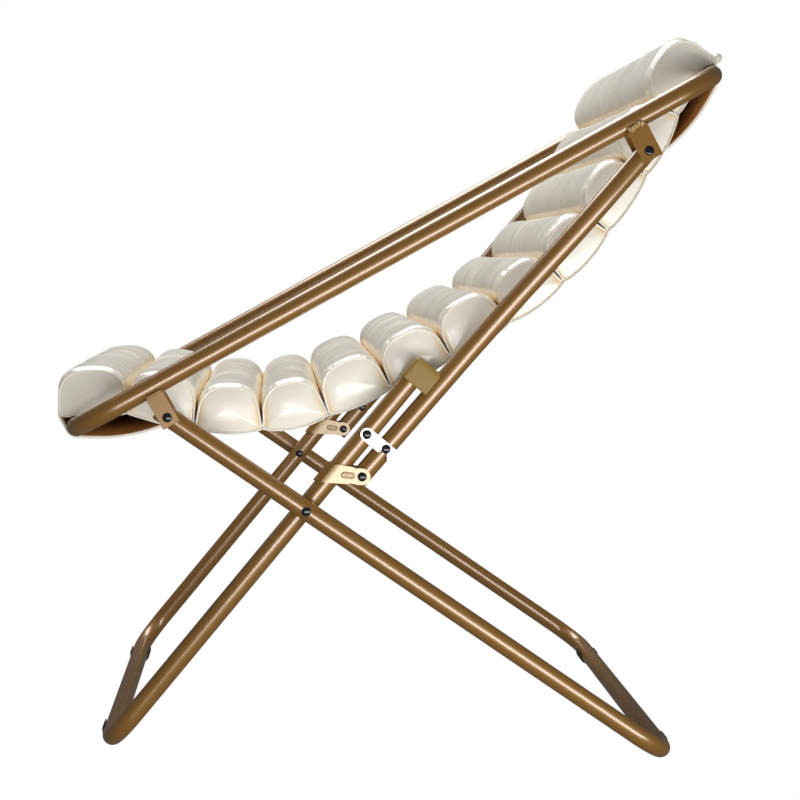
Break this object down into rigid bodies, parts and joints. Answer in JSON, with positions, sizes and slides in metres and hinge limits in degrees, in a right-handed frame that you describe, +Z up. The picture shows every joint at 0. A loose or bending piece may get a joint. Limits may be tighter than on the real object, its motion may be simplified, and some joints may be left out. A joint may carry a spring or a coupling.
{
  "type": "folding lounge chair",
  "caption": "Low folding lounge chair: bent round tube legs and hoop, linked by struts with hook latches, and a slung seat of cross-wise padded channels.",
  "frame": {"origin": "on the floor, at the middle of the chair's plan", "axes": "+X towards the sitter's right side, +Y towards the rear and high end of the seat, +Z up"},
  "size_m": [0.5682, 0.6798, 0.7606],
  "materials": {
    "gold_tube": "satin gold bronze powder coat on steel",
    "pale_gold": "satin pale gold paint on pressed steel",
    "black_steel": "gloss black steel",
    "zinc": "bright zinc plate",
    "olive_plastic": "moulded olive gold plastic",
    "dark_plastic": "moulded dark brown plastic",
    "cream_cushion": "glossy cream faux leather over soft stuffing",
    "brown_fabric": "matt brown woven lining with a cream edge"
  },
  "bodies": {
    "legs_outer": {"outer_leg_frame": "gold_tube", "crossing_rivet_outer_right": "black_steel", "crossing_rivet_outer_left": "black_steel", "crossing_washer_right": "black_steel", "crossing_washer_left": "black_steel", "glide_rear_right": "dark_plastic", "glide_rear_left": "dark_plastic"},
    "hoop": {"hoop_tube": "gold_tube", "hoop_spigot": "black_steel", "hoop_bracket_front_right": "gold_tube", "hoop_bracket_front_left": "gold_tube", "hoop_bracket_rear_right": "gold_tube", "hoop_bracket_rear_left": "gold_tube", "front_pivot_rivet_right": "black_steel", "front_pivot_rivet_left": "black_steel", "rear_pivot_rivet_right": "black_steel", "rear_pivot_rivet_left": "black_steel", "seat_roll_01": "cream_cushion", "seat_roll_02": "cream_cushion", "seat_roll_03": "cream_cushion", "seat_roll_04": "cream_cushion", "seat_roll_05": "cream_cushion", "seat_roll_06": "cream_cushion", "seat_roll_07": "cream_cushion", "seat_roll_08": "cream_cushion", "seat_roll_09": "cream_cushion", "seat_roll_10": "cream_cushion", "seat_roll_11": "cream_cushion", "seat_roll_12": "cream_cushion", "front_pocket": "brown_fabric", "rear_pocket": "brown_fabric"},
    "strut_right": {"strut_right": "gold_tube", "latch_stud_rivet_right": "black_steel"},
    "strut_left": {"strut_left": "gold_tube", "latch_stud_rivet_left": "black_steel"},
    "legs_inner": {"inner_leg_frame": "gold_tube", "leg_bracket_right": "pale_gold", "leg_bracket_left": "pale_gold", "leg_pivot_rivet_right": "black_steel", "leg_pivot_rivet_left": "black_steel", "saddle_cap_right": "olive_plastic", "saddle_cap_left": "olive_plastic", "latch_pivot_rivet_right": "black_steel", "latch_pivot_rivet_left": "black_steel", "crossing_rivet_inner_right": "black_steel", "crossing_rivet_inner_left": "black_steel", "glide_front_right": "dark_plastic", "glide_front_left": "dark_plastic"},
    "latch_right": {"hook_latch_right": "zinc"},
    "latch_left": {"hook_latch_left": "zinc"}
  },
  "joints": [
    {"name": "hoop_fold", "type": "hinge", "parent": "legs_outer", "child": "hoop", "pos_m": [0, -0.223, 0.356], "axis": [1, 0, 0], "range_deg": [-32.8, 0]},
    {"name": "strut_swing_right", "type": "hinge", "parent": "hoop", "child": "strut_right", "pos_m": [0.2695, 0.25262, 0.63616], "axis": [1, 0, 0], "range_deg": [-16.4, 0]},
    {"name": "strut_swing_left", "type": "hinge", "parent": "hoop", "child": "strut_left", "pos_m": [-0.2695, 0.25262, 0.63616], "axis": [1, 0, 0], "range_deg": [-16.4, 0]},
    {"name": "leg_fold", "type": "hinge", "parent": "strut_right", "child": "legs_inner", "pos_m": [0, -0.02548, 0.29734], "axis": [1, 0, 0], "range_deg": [0, 133.2]},
    {"name": "latch_lift_right", "type": "hinge", "parent": "legs_inner", "child": "latch_right", "pos_m": [0.2555, -0.02166, 0.34083], "axis": [1, 0, 0], "range_deg": [0, 99.9]},
    {"name": "latch_lift_left", "type": "hinge", "parent": "legs_inner", "child": "latch_left", "pos_m": [-0.2555, -0.02166, 0.34083], "axis": [1, 0, 0], "range_deg": [0, 99.9]}
  ],
  "couplings": [
    {"joint": "strut_swing_right", "follows": "hoop_fold", "ratio": 0.5},
    {"joint": "strut_swing_left", "follows": "hoop_fold", "ratio": 0.5},
    {"joint": "leg_fold", "follows": "hoop_fold", "ratio": -4.061},
    {"joint": "latch_lift_right", "follows": "hoop_fold", "ratio": -3.0457},
    {"joint": "latch_lift_left", "follows": "hoop_fold", "ratio": -3.0457}
  ]
}
